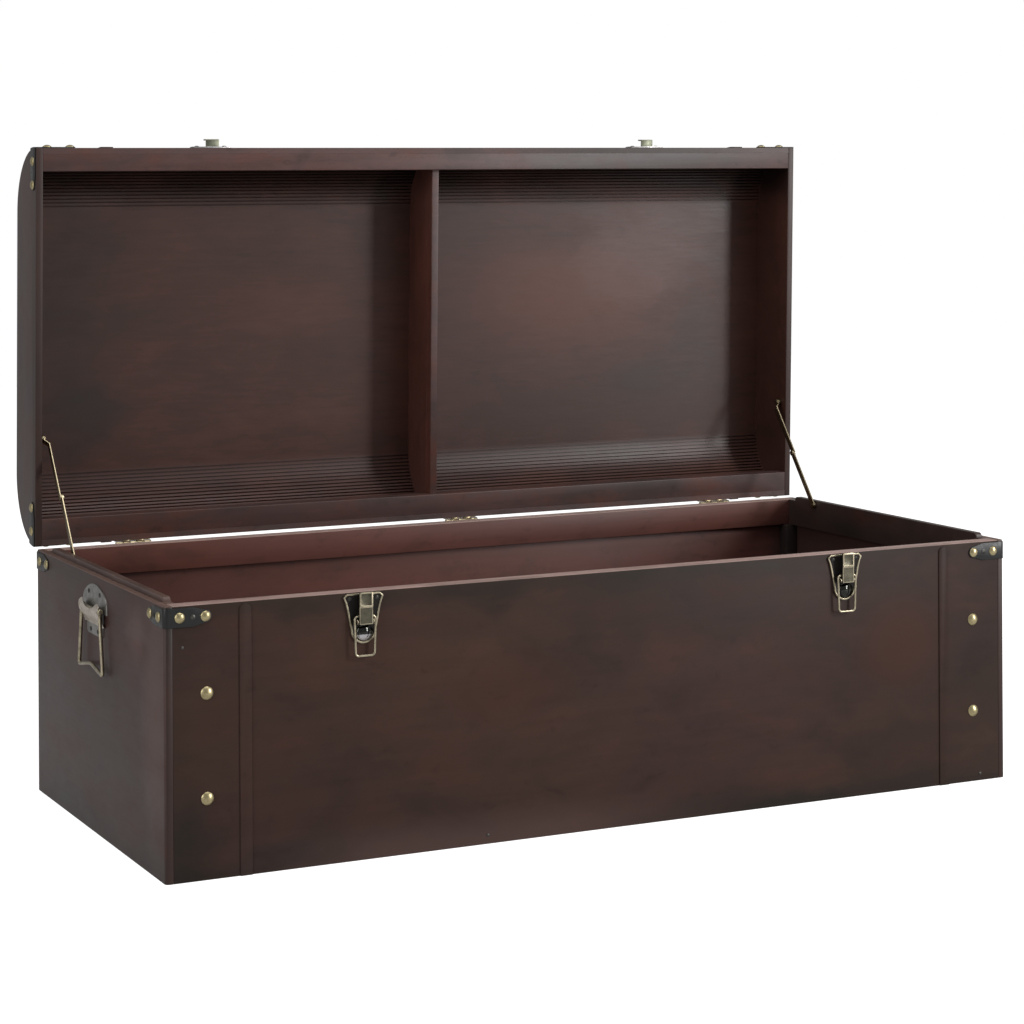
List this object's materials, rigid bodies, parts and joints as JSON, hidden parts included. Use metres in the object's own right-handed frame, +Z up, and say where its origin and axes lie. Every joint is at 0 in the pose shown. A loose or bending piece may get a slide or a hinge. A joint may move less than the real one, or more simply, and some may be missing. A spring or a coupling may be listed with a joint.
{
  "type": "storage trunk",
  "caption": "Long wooden trunk with a lid rounded along its front and back edges, brass lever latches, end handles, corner brackets and folding lid stays.",
  "frame": {"origin": "middle of the underside of the box", "axes": "+X along the length to the viewer's right, -Y to the front with the latches, +Z up"},
  "size_m": [1.2232, 0.6542, 0.88],
  "materials": {
    "stained_board": "very dark stain with a soft sheen outside, reddish brown inside",
    "inner_wood": "reddish mahogany stain, satin",
    "batten_wood": "dark stain, worn edges",
    "black_iron": "blackened, low sheen",
    "dark_bronze": "dark oiled bronze",
    "antique_brass": "antique, brushed, darker in the hollows",
    "nail_brass": "domed brass nails, lightly tarnished",
    "bright_brass": "plain brass strip",
    "screw_brass": "brass wood screws"
  },
  "bodies": {
    "box": {"front_panel": "stained_board", "back_panel": "stained_board", "left_panel": "stained_board", "right_panel": "stained_board", "floor_panel": "inner_wood", "front_rail": "inner_wood", "rear_rail": "inner_wood", "left_side_rail": "inner_wood", "right_side_rail": "inner_wood", "corner_posts": "inner_wood", "front_left_batten": "batten_wood", "front_right_batten": "batten_wood", "rear_left_batten": "batten_wood", "rear_right_batten": "batten_wood", "box_brackets": "black_iron", "box_nails": "nail_brass", "front_nails": "nail_brass", "box_screws": "screw_brass", "left_latch_plate": "antique_brass", "right_latch_plate": "antique_brass", "latch_pins": "antique_brass", "left_handle_plate": "dark_bronze", "right_handle_plate": "dark_bronze", "left_handle_clip": "antique_brass", "right_handle_clip": "antique_brass", "left_hinge_box_leaf": "antique_brass", "middle_hinge_box_leaf": "antique_brass", "right_hinge_box_leaf": "antique_brass", "hinge_pins": "antique_brass", "left_rail_stud": "bright_brass", "right_rail_stud": "bright_brass"},
    "lid": {"lid_left_end": "stained_board", "lid_right_end": "stained_board", "lid_top": "stained_board", "lid_front_rail": "inner_wood", "lid_rear_rail": "inner_wood", "lid_divider": "inner_wood", "lid_left_batten": "batten_wood", "lid_right_batten": "batten_wood", "lid_brackets": "black_iron", "lid_nails": "nail_brass", "lid_screws": "screw_brass", "left_lid_catch": "antique_brass", "right_lid_catch": "antique_brass", "left_hinge_lid_leaf": "antique_brass", "middle_hinge_lid_leaf": "antique_brass", "right_hinge_lid_leaf": "antique_brass", "left_lid_stud": "bright_brass", "right_lid_stud": "bright_brass"},
    "left_latch_lever": {"left_latch_lever": "antique_brass"},
    "right_latch_lever": {"right_latch_lever": "antique_brass"},
    "left_latch_bail": {"left_latch_bail": "antique_brass"},
    "right_latch_bail": {"right_latch_bail": "antique_brass"},
    "left_handle_ring": {"left_handle_ring": "antique_brass"},
    "right_handle_ring": {"right_handle_ring": "antique_brass"},
    "left_lower_stay": {"left_lower_stay": "bright_brass"},
    "right_lower_stay": {"right_lower_stay": "bright_brass"},
    "left_upper_stay": {"left_upper_stay": "bright_brass"},
    "right_upper_stay": {"right_upper_stay": "bright_brass"}
  },
  "joints": [
    {"name": "lid_hinge", "type": "hinge", "parent": "box", "child": "lid", "pos_m": [0, 0.2748, 0.323], "axis": [1, 0, 0], "range_deg": [0, 88.2]},
    {"name": "left_lower_stay_pivot", "type": "hinge", "parent": "box", "child": "left_lower_stay", "pos_m": [-0.5765, 0.1735, 0.324], "axis": [1, 0, 0], "range_deg": [0, 181.52]},
    {"name": "left_upper_stay_pivot", "type": "hinge", "parent": "lid", "child": "left_upper_stay", "pos_m": [-0.585, 0.28912, 0.47232], "axis": [1, 0, 0], "range_deg": [-55.36, 0]},
    {"name": "left_latch_lever_pivot", "type": "hinge", "parent": "box", "child": "left_latch_lever", "pos_m": [-0.349, -0.277, 0.2895], "axis": [1, 0, 0], "range_deg": [0, 175]},
    {"name": "left_latch_bail_pivot", "type": "hinge", "parent": "left_latch_lever", "child": "left_latch_bail", "pos_m": [-0.349, -0.277, 0.2959], "axis": [1, 0, 0], "range_deg": [-355.1, 0]},
    {"name": "left_handle_pivot", "type": "hinge", "parent": "box", "child": "left_handle_ring", "pos_m": [-0.607, 0, 0.285], "axis": [0, 1, 0], "range_deg": [0, 95]},
    {"name": "right_lower_stay_pivot", "type": "hinge", "parent": "box", "child": "right_lower_stay", "pos_m": [0.5765, 0.1735, 0.324], "axis": [1, 0, 0], "range_deg": [0, 181.52]},
    {"name": "right_upper_stay_pivot", "type": "hinge", "parent": "lid", "child": "right_upper_stay", "pos_m": [0.585, 0.28912, 0.47232], "axis": [1, 0, 0], "range_deg": [-55.36, 0]},
    {"name": "right_latch_lever_pivot", "type": "hinge", "parent": "box", "child": "right_latch_lever", "pos_m": [0.341, -0.277, 0.2895], "axis": [1, 0, 0], "range_deg": [0, 175]},
    {"name": "right_latch_bail_pivot", "type": "hinge", "parent": "right_latch_lever", "child": "right_latch_bail", "pos_m": [0.341, -0.277, 0.2959], "axis": [1, 0, 0], "range_deg": [-355.1, 0]},
    {"name": "right_handle_pivot", "type": "hinge", "parent": "box", "child": "right_handle_ring", "pos_m": [0.607, 0, 0.285], "axis": [0, -1, 0], "range_deg": [0, 95]}
  ],
  "couplings": [
    {"joint": "left_lower_stay_pivot", "follows": "lid_hinge", "ratio": 2.058},
    {"joint": "left_upper_stay_pivot", "follows": "lid_hinge", "ratio": -0.62752},
    {"joint": "left_latch_bail_pivot", "follows": "left_latch_lever_pivot", "ratio": -2.0286},
    {"joint": "right_lower_stay_pivot", "follows": "lid_hinge", "ratio": 2.058},
    {"joint": "right_upper_stay_pivot", "follows": "lid_hinge", "ratio": -0.62752},
    {"joint": "right_latch_bail_pivot", "follows": "right_latch_lever_pivot", "ratio": -2.0286}
  ]
}
